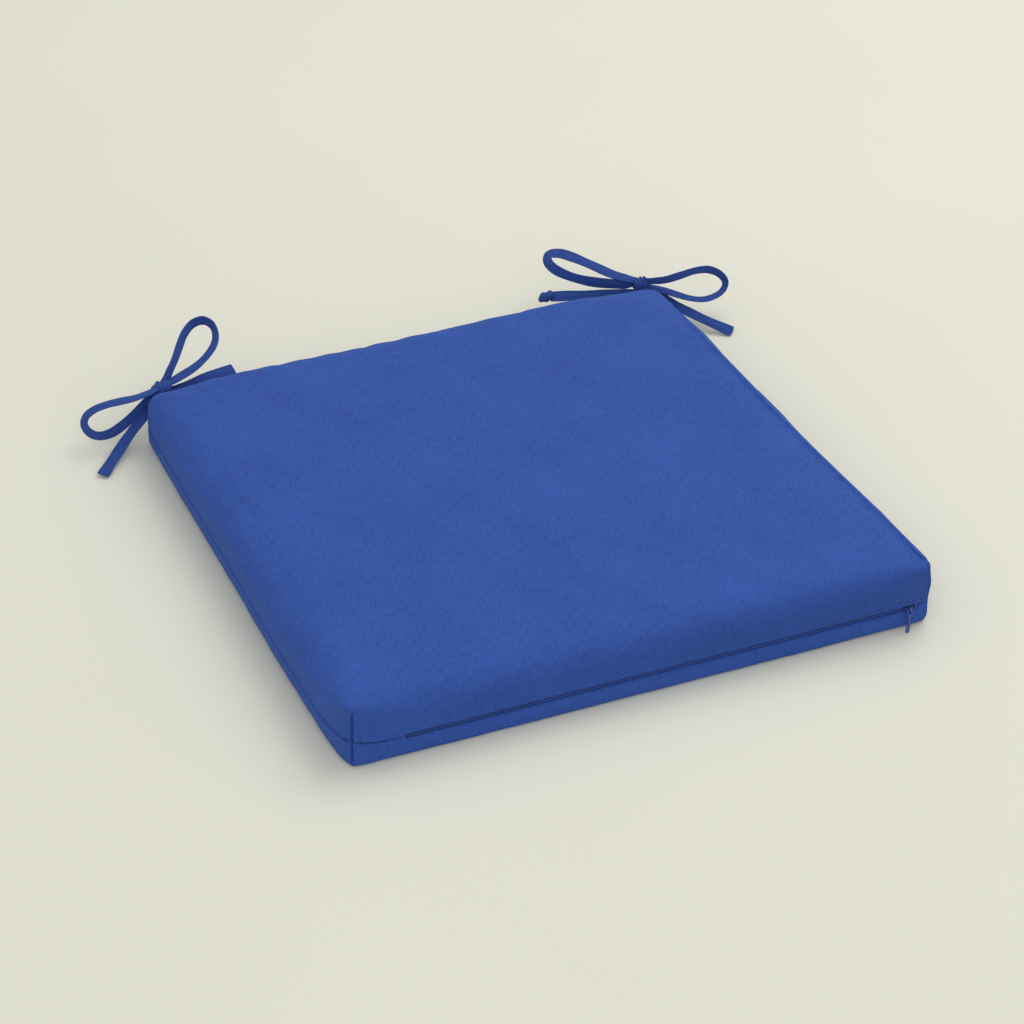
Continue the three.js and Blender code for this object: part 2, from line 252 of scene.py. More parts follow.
def wall_ribs(n, cloth, wall_start):
    """How strongly the ribs show: more beyond wall_start from the middle, in ragged patches."""
    parts = n.add("SeparateXYZ", None, Vector=cloth).outputs
    past = n.maths("SUBTRACT", n.maths("ABSOLUTE", parts["Y"], 0.0), wall_start)
    patches = n.noise(cloth, 42.0, 1.0)
    past = n.maths("ADD", past, n.maths("MULTIPLY", n.maths("SUBTRACT", patches, 0.5), 0.012))
    strength = n.ranged(past, (0.0, WALL_FADE), (FLAT_RIBS, WALL_RIBS))
    return n.maths("MULTIPLY", strength, n.ranged(parts["X"], RIB_ENDS, (RIB_LEAST, 1.0)))


def fabric_material(name, colour, twill_pitch, relief, wall_start=None, strength=0.45):
    """Twill: diagonal ribs crossed by fine yarns, with slubs and slow changes of shade.
    Beyond wall_start from the middle of the cloth, it isn't pressed flat and its ribs stand out."""
    n = Nodes(name)
    cloth = n.add("UVMap", {"uv_map": "weave"}).outputs["UV"]
    turned = n.add("Mapping", None, Vector=cloth, Rotation=(0, 0, RIB_TURN)).outputs[0]
    bands = BAND_SCALE / twill_pitch
    ribs = n.add("TexWave", {"bands_direction": "X"}, Vector=turned, Scale=bands, Distortion=1.1,
                 Detail=2.0, Detail_Scale=1.2).outputs["Fac"]
    yarns = n.add("TexWave", {"bands_direction": "Y"}, Vector=turned, Scale=bands * 2.3, Distortion=2.2,
                  Detail=1.0, Detail_Scale=2.0).outputs["Fac"]
    leaning = n.add("Mapping", None, Vector=cloth, Rotation=(0, 0, SLUB_TURN)).outputs[0]
    long_way = n.add("Mapping", None, Vector=leaning, Scale=LONG_SLUBS).outputs[0]
    cross_way = n.add("Mapping", None, Vector=cloth, Scale=CROSS_SLUBS).outputs[0]
    slubs_a = n.noise(long_way, 1.0, 3.0)
    slubs_b = n.noise(cross_way, 1.0, 3.0)
    slow = n.noise(cloth, 14.0, 3.0)
    slubs = n.total((slubs_a, 0.65), (slubs_b, 0.35))
    ribs = n.maths("SMOOTH_MIN", n.maths("MULTIPLY", ribs, 1.15), 1.0)
    if wall_start:
        strength = wall_ribs(n, cloth, wall_start)
    ribs = n.maths("MULTIPLY", n.maths("SUBTRACT", ribs, 0.5), strength)
    # The weave's ribs and yarns shift the colour: painted shade in the ribs' valleys and a painted highlight
    # on their ridges, on top of their bump; the slubs and slow changes are the yarn's own tone.
    weave = n.total((ribs, 0.9), (yarns, 0.16))
    tone = n.total((weave, 0.5), (slubs, 1.0), (n.maths("SUBTRACT", slow, 0.73), 0.26))
    n.feed(n.shader, "Base Color", n.ramp(tone, *(shade(colour, factor) for factor in SHADES)))
    n.feed(n.shader, "Roughness", n.maths("ADD", n.maths("MULTIPLY", slubs, 0.18), 0.74))
    n.feed(n.shader, "Normal", n.bump(n.total((weave, 1.1), (slubs, 0.7)), relief))
    for key, value in FIBRE_SHEEN.items():
        n.feed(n.shader, key, value)
    return n.material


def grain_material(name, colour, scale, rough, relief, metallic=0.0):
    """A solid colour broken up by a fine grain, for foam, fibre, nylon, enamel and tape."""
    n = Nodes(name)
    place = n.add("TexCoord").outputs["Object"]
    fine = n.noise(place, scale, 4.0)
    slow = n.noise(place, scale / 40, 2.0)
    tone = n.total((fine, 0.7), (slow, 0.3))
    n.feed(n.shader, "Base Color", n.ramp(tone, shade(colour, 0.8), shade(colour, 1.2)))
    n.feed(n.shader, "Roughness", n.maths("ADD", n.maths("MULTIPLY", fine, 0.15), rough - 0.07))
    n.feed(n.shader, "Normal", n.bump(fine, relief * MM))
    n.feed(n.shader, "Metallic", metallic)
    return n.material


# Making objects


def new_object(name, vertices, faces, material, body=ROOT, soft=True):
    mesh = bpy.data.meshes.new(name)
    mesh.from_pydata([tuple(v) for v in vertices], [], faces)
    mesh.polygons.foreach_set("use_smooth", [soft] * len(mesh.polygons))
    mesh.materials.append(material)
    made = bpy.data.objects.new(name, mesh)
    bpy.context.scene.collection.objects.link(made)
    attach(made, body)
    return made


def tube_faces(rings, around):
    """The faces of a tube of rings of points, capped at each end round a point added after them."""
    faces = []
    for i in range(rings - 1):
        for j in range(around):
            k = (j + 1) % around
            faces.append((i * around + j, i * around + k, (i + 1) * around + k, (i + 1) * around + j))
    for ring, middle, order in ((0, rings * around, -1), (rings - 1, rings * around + 1, 1)):
        for j in range(around):
            faces.append((ring * around + j, ring * around + (j + 1) % around, middle)[::order])
    return faces


def grid_faces(index):
    """The faces between a grid of points, from the grid of their numbers."""
    corners = [index[:-1, :-1], index[1:, :-1], index[1:, 1:], index[:-1, 1:]]
    return np.stack(corners, -1).reshape(-1, 4)


def unit(vectors):
    return vectors / np.linalg.norm(vectors, axis=1)[:, None]


def apply_modifier(obj, kind, **settings):
    modifier = obj.modifiers.new(kind, kind)
    for key, value in settings.items():
        setattr(modifier, key, value)
    graph = bpy.context.evaluated_depsgraph_get()
    mesh = bpy.data.meshes.new_from_object(obj.evaluated_get(graph))
    obj.modifiers.clear()
    obj.data = mesh


def edit(mesh, change):
    body = bmesh.new()
    body.from_mesh(mesh)
    change(body)
    body.to_mesh(mesh)
    body.free()


# Ties: each half of a strip runs from the back seam through its knot, round its
# loop, back through the knot and out as a tail.

STRIP_WIDTH = 8.6 * MM
STRIP_THICK = 1.6 * MM
LEFT_KNOT = (-0.193, 0.229, 0.032)
RIGHT_KNOT = (0.2055, 0.2305, 0.032)
INNER_END_KNOT = (0.1345, 0.2525, 0.0245)

TIES = {
    "left_front": {
        "stem": [(-193.5, 217.3, 18), (-193.5, 219.5, 19.7), (-193.5, 221, 24), (-193.5, 222, 30)],
        "loop": [(-195, 227.5, 34.3), (-199.5, 224.8, 35.3), (-206, 221, 36.2), (-217, 218, 36.5),
                 (-228, 218.5, 36), (-238, 222.5, 33), (-247, 226, 28.5), (-253, 226.5, 24),
                 (-255.5, 224.5, 19.5), (-254.5, 221, 15.5), (-251, 217.5, 12.7), (-246, 215.5, 11.6),
                 (-238, 215.5, 12), (-229, 217.5, 14.5), (-219, 220, 19.5), (-210, 222.5, 24.5),
                 (-201, 225.5, 28.7), (-195, 227.5, 30.9)],
        "tail": [(-195.5, 227.8, 26.4), (-201, 225, 23.4), (-207, 222, 20), (-214, 217, 16.5),
                 (-223, 210.5, 12.8), (-233, 202, 9), (-245, 191, 5), (-257, 178, 2.8)],
        "rolls": [(0, 55), (0.45, 47), (0.6, 38), (1, 39)],
        "tail_roll": -10,
    },
    "left_rear": {
        "stem": [(-193.5, 217.3, 14.9), (-193.5, 221.3, 16.6), (-193.5, 224, 21), (-193.5, 225.5, 26.5)],
        "loop": [(-190.5, 231, 34.3), (-185, 236, 37.8), (-176, 246, 43), (-167.5, 257.5, 47.5),
                 (-159.5, 268, 51), (-150.5, 275, 53.5), (-142, 276, 54), (-137.5, 269.5, 53),
                 (-138, 259.5, 50.5), (-143, 249.5, 47.5), (-151.5, 242, 44), (-163, 236.5, 40),
                 (-175, 234, 36.5), (-184, 232.5, 34), (-190.5, 231, 33)],
        "tail": [(-190, 229.5, 25.8), (-183, 231.5, 25.8), (-168, 235.5, 26), (-154, 240.5, 25.4),
                 (-140, 246.5, 23.5), (-127, 252, 20.5)],
        "rolls": [(0, 49), (0.2, 58), (0.5, 48), (1, 45)],
        "tail_roll": 35,
    },
    "right_inner": {
        "stem": [(206, 217.3, 18), (206, 220, 19.9), (206, 222.2, 24.5), (206, 223.5, 30)],
        "loop": [(203, 231.5, 34.3), (196.5, 234, 36.8), (186, 240.5, 39.5), (174.5, 253.5, 43),
                 (163.5, 267.5, 45.5), (155, 276, 46.5), (148, 278.5, 45.5), (144.5, 274, 43),
                 (146.5, 265.5, 40), (154, 256.5, 37.2), (165, 248, 34.8), (179, 240.5, 33.2),
                 (194, 234, 32.6), (203, 231.5, 33)],
        "tail": [(202.5, 230, 25.6), (196, 231.5, 25.3), (183, 235.5, 25.2), (171, 239.5, 25.2),
                 (158.5, 244, 25), (144, 249, 24.7), (137, 251.4, 24.5)],
        "rolls": [(0, 38), (0.5, 30), (1, 36)],
        "tail_roll": -30,
    },
    "right_outer": {
        "stem": [(206, 217.3, 14.9), (206, 222, 16.8), (206, 225.3, 21), (206, 227, 26.5)],
        "loop": [(208, 229, 34.3), (213, 225, 36), (221.5, 221, 37.3), (235, 221, 38.3),
                 (250.5, 223.5, 38), (262, 224.5, 35.5), (270, 221, 31.5), (272.5, 216, 27),
                 (268.5, 211.5, 23), (260.5, 209, 20.5), (250, 208.5, 20), (239.5, 211, 22),
                 (230.5, 215, 25), (221.5, 220, 28), (213, 225, 30.2), (208, 228.5, 30.9)],
        "tail": [(208.5, 228.8, 27.4), (214.5, 224, 25), (221.5, 217.5, 21.5), (229, 210.5, 17),
                 (237, 204, 13), (250.5, 192.5, 7), (262.5, 181.5, 2.8)],
        "rolls": [(0, 50), (0.5, 57), (1, 52)],
        "tail_roll": 24,
    },
}
# For each knot's node: its piece's name, middle, half length and radius, folds and their lean
KNOTS = {
    "left_knot": ("left_bow_knot", LEFT_KNOT, (6.9 * MM, 6.6 * MM), 2.5, 2.2),
    "right_knot": ("right_bow_knot", RIGHT_KNOT, (6.6 * MM, 5.7 * MM), 4.5, 0.3),
    "right_inner_end_knot": ("right_inner_tail_knot", INNER_END_KNOT, (5.6 * MM, 4.3 * MM), 1.7, 2.2),
}
# The way the bows' loops lie open, and the way up of a tail that lies flat
LOOP_FACING = (-0.34, -0.75, 0.56)
TAIL_FACING = (0, 0, 1)


def even_line(points, step):
    """Points a step apart along the smooth curve through the given points."""
    p = np.array(points, float)
    lengths = np.linalg.norm(np.diff(p, axis=0), axis=1) ** 0.5
    knots = np.concatenate([[0], np.cumsum(lengths)])
    dense = np.linspace(0, knots[-1], 40 * len(p))
    line = np.stack([curve_through(np.stack([knots, p[:, i]], 1), dense, free=True) for i in range(3)], 1)
    run = np.concatenate([[0], np.cumsum(np.linalg.norm(np.diff(line, axis=0), axis=1))])
    count = max(2, round(run[-1] / step))
    wanted = np.linspace(0, run[-1], count + 1)
    return np.stack([np.interp(wanted, run, line[:, i]) for i in range(3)], 1)


def turned_widths(line, facing, roll):
    """For each point of a line, the direction of the strip's width."""
    tangents = unit(np.gradient(line, axis=0))
    across = unit(np.cross(np.array(facing, float), tangents))
    lift = np.cross(tangents, across)
    angle = np.radians(roll)[:, None]
    return across * np.cos(angle) + lift * np.sin(angle)


def blended(values, window):
    """Directions evened out along a line, so that the strip has no sudden twist."""
    kernel = np.hanning(window + 2)[1:-1]
    kernel /= kernel.sum()
    padded = np.pad(values, ((window // 2, window // 2), (0, 0)), "edge")
    return unit(np.stack([np.convolve(padded[:, i], kernel, "valid") for i in range(3)], 1))


STRIP_STEP = 0.9 * MM
SECTION = 40
TWIST_WINDOW = 15
# A strip's width in its knot, as a share of the whole, and how far from the knot it starts and ends
KNOT_WIDTH, PINCH_START, PINCH_END = 0.72, 5 * MM, 15 * MM
# The stitched crease beside each edge and the hem's rise outside it: place, width and depth
CREASE, HEM = (0.55, 0.13, 0.6), (0.8, 0.12, 0.12)
END_HEM_WIDTH, END_HEM_RISE = 2 * MM, 0.08
UNDERSIDE_SHIFT = 0.02


def strip_line(tie):
    """A strip's middle line, its width directions, and its distance from its knot."""
    stem, loop, tail = (np.array(tie[part]) * MM for part in ("stem", "loop", "tail"))
    knot = LEFT_KNOT if stem[0, 0] < 0 else RIGHT_KNOT
    whole = even_line(np.concatenate([stem, loop, tail]), STRIP_STEP)
    near = np.linalg.norm(whole - np.array(knot), axis=1)
    run = np.arange(len(whole))
    tail_start = np.argmin(np.linalg.norm(whole - tail[0], axis=1))
    stem_end = np.argmin(np.linalg.norm(whole - loop[0], axis=1))
    share = (run - stem_end) / (tail_start - stem_end)
    upper = turned_widths(whole, LOOP_FACING, curve_through(tie["rolls"], share))
    flat = turned_widths(whole, TAIL_FACING, np.full(len(whole), float(tie["tail_roll"])))
    in_loop = (run > stem_end) & (run < tail_start)
    flat *= np.sign(np.einsum("ij,ij->i", flat, np.where(in_loop[:, None], upper, flat)))[:, None]
    widths = blended(np.where(in_loop[:, None], upper, flat), TWIST_WINDOW)
    return whole, widths, near


def strip_section():
    """A strip's section, as shares of half its width and thickness, thinner along its stitched creases."""
    angles = 2 * np.pi * (np.arange(SECTION) + 0.5) / SECTION
    x = np.sign(np.cos(angles)) * np.abs(np.cos(angles)) ** 0.8
    y = np.sign(np.sin(angles)) * np.abs(np.sin(angles)) ** 0.75
    crease = CREASE[2] * hump(np.abs(x) - CREASE[0], CREASE[1])
    hem = HEM[2] * hump(np.abs(x) - HEM[0], HEM[1])
    return x, y * (1 - crease + hem)


def make_strip(name, tie, material, rounded_end):
    """A stitched flat tube with a crease along it, pinched where it enters the knot."""
    line, widths, near = strip_line(tie)
    tangents = unit(np.gradient(line, axis=0))
    widths = unit(widths - tangents * np.einsum("ij,ij->i", widths, tangents)[:, None])
    lifts = np.cross(tangents, widths)
    run = np.arange(len(line)) * STRIP_STEP
    pinch = KNOT_WIDTH + (1 - KNOT_WIDTH) * smooth(PINCH_START, PINCH_END, near)
    wander = 0.05 * np.sin(run * 190 + len(name)) + 0.04 * np.sin(run * 71 + 2)
    end_hem = 1 + END_HEM_RISE * hump(run[-1] - run, END_HEM_WIDTH)
    half_width = STRIP_WIDTH / 2 * pinch * (1 + wander)
    half_thick = STRIP_THICK / 2 * (1.25 - 0.25 * pinch + 0.08 * np.sin(run * 260)) * end_hem
    x, y = strip_section()
    vertices, weave = [], []
    for i, centre in enumerate(line):
        for j in range(SECTION):
            vertices.append(centre + widths[i] * x[j] * half_width[i] + lifts[i] * y[j] * half_thick[i])
            weave.append((x[j] * half_width[i] + (UNDERSIDE_SHIFT if y[j] < 0 else 0), run[i]))
    for ring, order in ((0, -1), (len(line) - 1, 1)):
        push = (0.9 if rounded_end and ring else 0.3) * MM
        vertices.append(line[ring] + tangents[ring] * push * order)
        weave.append((0, run[ring]))
    made = new_object(name, vertices, tube_faces(len(line), SECTION), material)
    set_weave(made, np.array(weave))
    return made, line


def set_weave(obj, coordinates):
    """Stores each vertex's place in the flat cloth, in metres, as the UV map of the weave."""
    layer = obj.data.uv_layers.new(name="weave")
    index = np.zeros(len(obj.data.loops), int)
    obj.data.loops.foreach_get("vertex_index", index)
    layer.data.foreach_set("uv", coordinates[index].astype(np.float32).ravel())


KNOT_ROWS, KNOT_AROUND = 30, 40
KNOT_END, KNOT_FOLD = 0.25, 0.13


def make_knot(name, centre, size, ridges, lean, material):
    """A strip wrapped tightly round the others: a squat barrel with folds round it."""
    half, radius = size
    vertices, weave = [], []
    for i in range(KNOT_ROWS + 1):
        t = -1 + 2 * i / KNOT_ROWS
        shoulder = (1 - abs(t) ** 3.2) ** 0.5
        for j in range(KNOT_AROUND):
            angle = 2 * math.pi * j / KNOT_AROUND
            slant = 0.10 * math.sin(angle + 1) + 0.12 * lean * math.cos(angle)
            fold = 1 + KNOT_FOLD * math.sin(math.pi * ridges * (t + slant)) * shoulder
            lumps = 1 + 0.06 * math.sin(2 * angle + 0.7) + 0.04 * math.sin(3 * angle + 2 * t)
            r = radius * (KNOT_END + (1 - KNOT_END) * shoulder) * fold * lumps
            skew = 0.16 * lean * radius * math.sin(angle)
            vertices.append((half * t + skew, -r * math.cos(angle), r * math.sin(angle) * 0.96))
            weave.append((half * t, radius * angle))
    vertices += [(-half, 0, 0), (half, 0, 0)]
    weave += [(0, 0), (0, 0)]
    placed_points = [Vector(v) + Vector(centre) for v in vertices]
    faces = tube_faces(KNOT_ROWS + 1, KNOT_AROUND)
    made = new_object(name, placed_points, faces, material)
    set_weave(made, np.array(weave))
    return made


def make_ties(material):
    for node, (name, *shape) in KNOTS.items():
        make_knot(name, *shape, material)
        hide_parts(node)
    for name, tie in TIES.items():
        knotted = name == "right_inner"
        strip, line = make_strip(name + "_strip", tie, material, not knotted)
        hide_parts(name + "_stem", name + "_loop", name + "_tail")


# Cushion: the cover's two panels, the wadding and the foam share one form. A
# point of it is given on a box, as x and y from -1 to 1 and a height, and
# placed() rounds the box. Sides are numbered front, right, back, left, and a
# place along a side runs from -1 to 1 with x or y.

FRONT, RIGHT, BACK, LEFT = range(4)
EDGE_Z = 47.5 * MM
CROWN_Z = 50.3 * MM
CORNER_DROPS = {(-1, 1): 2.5 * MM, (1, 1): 4.5 * MM}
CORNER_SPREAD = 0.045

# Half the width at each side, in mm
OUTLINES = {
    FRONT: [(-1, 216), (-0.94, 217.2), (0.94, 217.2), (1, 216)],
    RIGHT: [(-1, 218), (-0.93, 222.5), (-0.8, 225), (-0.6, 223.5), (-0.3, 219.5), (0, 216.5),
            (0.4, 214), (0.75, 211.5), (1, 209.5)],
    BACK: [(-1, 212), (-0.7, 214), (0, 213), (0.6, 214), (0.85, 213), (1, 210)],
    LEFT: [(-1, 216), (-0.93, 220), (-0.8, 221.8), (-0.45, 221.4), (0, 218.3), (0.4, 216.2),
           (0.8, 214), (1, 212.3)],
}
# How far the seam lies down the side from the top edge, in mm; on the right it
# rides up on to the top
SEAM_DROPS = {
    FRONT: [(-1, 26), (-0.95, 28.8), (-0.88, 31.1), (-0.82, 31.5), (0.94, 31.5), (0.97, 31), (1, 29.3)],
    RIGHT: [(-1, 29.3), (-0.99, 19), (-0.975, 4), (-0.955, -3), (-0.9, -6.5), (-0.8, -7.5), (0, -8),
            (0.6, -7), (0.8, -2), (0.93, 14), (1, 24)],
    BACK: [(-1, 25), (-0.93, 29), (-0.8, 30), (0.8, 30), (0.93, 28), (1, 24)],
    LEFT: [(-1, 26), (-0.95, 28), (-0.8, 29), (0.5, 28.5), (0.9, 26), (1, 25)],
}
# In mm: the radii of the top and bottom edges and of the corners in plan, and how far the walls bulge
TOP_ROLLS = {FRONT: 15, RIGHT: 13, BACK: 13, LEFT: 17}
BOTTOM_ROLLS = {FRONT: 3.2, RIGHT: 9, BACK: 8, LEFT: 8}
PLAN_RADII = {(-1, -1): 2.2, (1, -1): 2.2, (1, 1): 13, (-1, 1): 12}
WALL_BULGES = {FRONT: 0.8, RIGHT: 1.5, BACK: 1.5, LEFT: 1.2}
# How far a corner's effect reaches, and by how much the edges are sharper there
CORNER_REACH = 0.028
FRONT_SHARPER, BACK_SHARPER, LOW_SHARPER = 0.78, 0.25, 0.3
LEAST_ROLL = 2.2 * MM
ON_WALL = 1 - 1e-7


def by_side(table, x, y):
    """A table's value for the sides, mixed by how near each is, in metres."""
    reach = {FRONT: -y, RIGHT: x, BACK: y, LEFT: -x}
    weights = {k: np.clip(v, 0, 1) ** 8 + 1e-9 for k, v in reach.items()}
    total = sum(weights.values())
    return sum(weights[k] * table[k] for k in table) / total * MM


def corner_mix(x, y, table, spread):
    """A value for each corner, fading out with distance from it."""
    total = np.zeros_like(x)
    for (cx, cy), value in table.items():
        total += value * hump(HALF * np.hypot(x - cx, y - cy), spread)
    return total


def top_height(x, y):
    crown = (1 - np.abs(x) ** 2.4) * (1 - np.abs(y) ** 2.4)
    return EDGE_Z + (CROWN_Z - EDGE_Z) * crown - corner_mix(x, y, CORNER_DROPS, CORNER_SPREAD)


def rolled(radius, depth):
    """How far in and how far down a point lies on a rounded edge, depth past its middle."""
    angle = np.radians(45) * (1 - np.clip(depth / radius, -1, 1))
    return radius * (1 - np.cos(angle)), radius * (1 - np.sin(angle))


def placed(x, y, z, inset=0.0):
    """The points of the cushion's form for points of the box, drawn in by inset."""
    half_x = np.where(x > 0, curve_through(OUTLINES[RIGHT], y), curve_through(OUTLINES[LEFT], y)) * MM
    half_y = np.where(y > 0, curve_through(OUTLINES[BACK], x), curve_through(OUTLINES[FRONT], x)) * MM
    half_x, half_y = half_x - inset, half_y - inset
    sharp = corner_mix(x, y, dict.fromkeys(PLAN_RADII, 1.0), CORNER_REACH)
    front_sharp = corner_mix(x, y, {(-1, -1): 1.0, (1, -1): 1.0}, CORNER_REACH)
    sharper = FRONT_SHARPER * front_sharp + BACK_SHARPER * (sharp - front_sharp)
    top_roll = by_side(TOP_ROLLS, x, y) * (1 - sharper)
    low_roll = by_side(BOTTOM_ROLLS, x, y) * (1 - LOW_SHARPER * front_sharp)
    px, py = np.abs(x) * half_x, np.abs(y) * half_y
    for (cx, cy), radius in PLAN_RADII.items():
        r = radius * MM
        u, v = (px - half_x + r) / r, (py - half_y + r) / r
        inside = (u > 0) & (v > 0) & (x * cx > 0) & (y * cy > 0)
        u, v = np.clip(u, 0, 1), np.clip(v, 0, 1)
        px = np.where(inside, half_x - r + r * u * np.sqrt(1 - v * v / 2), px)
        py = np.where(inside, half_y - r + r * v * np.sqrt(1 - u * u / 2), py)
    top, wall = top_height(x, y) - inset, np.maximum(np.abs(x), np.abs(y)) > ON_WALL
    radius = np.where(z > top / 2, top_roll, low_roll)
    zone = np.maximum(radius, LEAST_ROLL)
    du, dv = np.maximum(px - half_x + zone, 0), np.maximum(py - half_y + zone, 0)
    reach = np.hypot(du, dv)
    nx, ny = np.where(reach > 0, du / np.maximum(reach, 1e-9), 0), dv / np.maximum(reach, 1e-9)
    inward = np.clip(zone - reach, 0, None)
    low, floor = z < top / 2, inset
    depth = np.where(low, z - floor, top - z)
    depth = np.where(wall, depth, -inward)
    pull_in, drop = rolled(radius, depth)
    pull_in, drop = np.where(depth < radius, pull_in, 0), np.where(depth < radius, drop, depth)
    shift = np.where(wall, pull_in, np.where(inward < radius, pull_in - inward, 0))
    flat = np.where(wall, drop, np.where(inward < radius, drop, 0))
    share = np.clip((z - floor) / np.maximum(top - floor, 1e-6), 0, 1)
    bulge = by_side(WALL_BULGES, x, y) * np.sin(np.pi * share) * np.where(wall, 1, 0) * (1 - sharp)
    px, py = px - nx * (shift - bulge), py - ny * (shift - bulge)
    height = np.where(low, floor + flat, top - flat)
    return np.stack([px * np.sign(x), py * np.sign(y), height], -1)


def grid_lines(middle, end, reach):
    """Places from -1 to 1, end apart at their ends and middle apart beyond reach of them, in mm."""
    places = [0.0]
    while places[-1] < HALF / MM:
        away = HALF / MM - places[-1]
        places.append(places[-1] + end + (middle - end) * float(smooth(0, reach, away)))
    half = np.array(places) / places[-1]
    return np.concatenate([-half[:0:-1], half])


def seam_shift(side, place, gap):
    """Where the seam lies on a side, as a distance up on to the top, for a panel that stops gap short."""
    return -curve_through(SEAM_DROPS[side], place) * MM + gap


def side_point(side, place, up):
    """The box point on a side, up past the top edge or down from it."""
    on_top = np.maximum(up, 0) / HALF
    edge = 1 - on_top
    x = {FRONT: place, RIGHT: edge, BACK: place, LEFT: -edge}[side]
    y = {FRONT: -edge, RIGHT: place, BACK: edge, LEFT: place}[side]
    z = top_height(x, y) + np.minimum(up, 0)
    return x, y, z


MERGE_UNITS, MERGE_OFFSET = np.array([1, 1, 10]), 0.37


class Panel:
    """A cover panel as a grid over its face and a grid down each side. Its columns hold, for each point, its
    box point, its distances from the seam and from a corner's dart, and its place in the flat cloth."""

    FACE = -1
    FAR_FROM_SEAM = 0.05

    def __init__(self, upper, lines, rows, gap):
        self.upper, self.lines = upper, lines
        self.columns = {key: [] for key in ("box", "from_seam", "from_dart", "cloth", "side", "place")}
        self.faces = []
        self.add_face()
        for side in range(4):
            self.add_side(side, rows, gap)

    def add_face(self):
        x, y = (a.ravel() for a in np.meshgrid(self.lines, self.lines, indexing="ij"))
        seam = np.full_like(x, self.FAR_FROM_SEAM)
        if self.upper:
            edge = self.edge_up(RIGHT, y) / HALF
            x = x - edge * np.clip((x - 0.5) / 0.5, 0, 1) ** 2
            seam = np.minimum(seam, (1 - x) * HALF - seam_shift(RIGHT, y, 0))
        z = top_height(x, y) if self.upper else np.zeros_like(x)
        wall_gap = 1e-4 * (np.maximum(np.abs(x), np.abs(y)) > ON_WALL)
        dart = HALF * np.hypot(1 - np.abs(x) + wall_gap, 1 - np.abs(y) + wall_gap)
        cloth = np.stack([x, y], 1) * HALF
        self.add_grid((len(self.lines),) * 2, (x, y, z), seam, dart, cloth, self.FACE, x)

    def add_side(self, side, rows, gap):
        place, row = (a.ravel() for a in np.meshgrid(self.lines, rows, indexing="ij"))
        start = -top_height(*side_point(side, place, np.zeros_like(place))[:2])
        if self.upper:
            start = self.edge_up(side, place)
        stop = seam_shift(side, place, gap(side, place) * (1 if self.upper else -1))
        up = stop + (start - stop) * row
        down = HALF - up
        cloth = {
            FRONT: (place * HALF, -down), RIGHT: (down, place * HALF),
            BACK: (place * HALF, down), LEFT: (-down, place * HALF),
        }[side]
        dart = HALF * (1 - np.abs(place))
        point, shape = side_point(side, place, up), (len(self.lines), len(rows))
        self.add_grid(shape, point, np.abs(up - stop), dart, np.stack(cloth, 1), side, place)

    @staticmethod
    def edge_up(side, place):
        """How far up on the top the face ends: on the right, it leaves the side a strip round the seam."""
        if side != RIGHT:
            return np.zeros_like(place)
        wanted = seam_shift(side, place, 0) + 5 * MM
        return (wanted + np.sqrt(wanted**2 + (1 * MM) ** 2)) / 2 * (1 - smooth(0.93, 1, np.abs(place)))

    def add_grid(self, shape, point, from_seam, from_dart, cloth, side, place):
        start = sum(len(box) for box in self.columns["box"])
        values = (np.stack(point, 1), from_seam, from_dart, cloth, np.full(len(place), side), place)
        for column, value in zip(self.columns.values(), values):
            column.append(value)
        self.faces.append(grid_faces(start + np.arange(len(place)).reshape(shape)))

    def finished(self):
        """The grids as one, with doubled points along shared edges merged. Points are one point if their box
        places agree when rounded; the odd offset keeps the grids' round places clear of a rounding's turn."""
        whole = {key: np.concatenate(values) for key, values in self.columns.items()}
        keys = np.round(whole["box"] * MERGE_UNITS * 1e5 + MERGE_OFFSET).astype(np.int64)
        _, first, inverse = np.unique(keys, axis=0, return_index=True, return_inverse=True)
        inverse = inverse.ravel()
        corners = np.concatenate(self.faces)
        made = {key: whole[key][first] for key in ("box", "place")}
        made.update(faces=inverse[corners], corner_cloth=whole["cloth"][corners])
        for key, furthest, nearer in (
            ("from_seam", np.inf, np.minimum),
            ("from_dart", np.inf, np.minimum),
            ("side", self.FACE, np.maximum),
        ):
            made[key] = np.full(len(first), furthest)
            nearer.at(made[key], inverse, whole[key])
        return made


SEAM_GAP = 0.05 * MM
SLOT_GAP = 1.95 * MM


def zip_gap(side, place):
    """Half the open width of the seam: the zip's slot at the front, closed elsewhere."""
    if side != FRONT:
        return np.full_like(place, SEAM_GAP)
    x = place * HALF
    opening = smooth(ZIP_LEFT - 1 * MM, ZIP_LEFT + 4 * MM, x)
    closing = smooth(ZIP_RIGHT - 3.2 * MM, ZIP_RIGHT - 1 * MM, x)
    return SEAM_GAP + SLOT_GAP * opening * (1 - closing)


def no_gap(_side, place):
    return np.zeros_like(place)


MIDDLE = np.array([0, 0, 0.024])


def normals_of(points, faces):
    """A unit normal at each point, facing away from the cushion's middle, and the faces that face it."""
    a, b, c, d = (points[faces[:, i]] for i in range(4))
    face = np.cross(c - a, d - b)
    flip = np.einsum("ij,ij->i", face, (a + c) / 2 - MIDDLE) < 0
    face[flip] *= -1
    total = np.zeros_like(points)
    for i in range(4):
        np.add.at(total, faces[:, i], face)
    length = np.linalg.norm(total, axis=1)
    return total / np.maximum(length, 1e-12)[:, None], flip


# How far out the front may stand along the zip, below it and at its lips
WALL_LIMIT = 217.35 * MM
SLOT_LIMIT = 216.05 * MM
# The simulated cloth: its grid, how long it runs, and how far its rise is believed in and out
SIM_LINES, SIM_ROWS, SIM_FRAMES = (7, 5, 20), 6, 20
SIM_DIP, SIM_CAP = 0.3 * MM, 2.2 * MM
HELD_NEAR = 1 * MM
CLOTH = {
    "quality": 6, "mass": 0.25, "tension_stiffness": 18, "compression_stiffness": 18, "shear_stiffness": 6,
    "bending_stiffness": 0.8, "air_damping": 4, "use_pressure": True, "uniform_pressure_force": 4,
    "vertex_group_mass": "held", "pin_stiffness": 1, "shrink_min": -0.012,
}


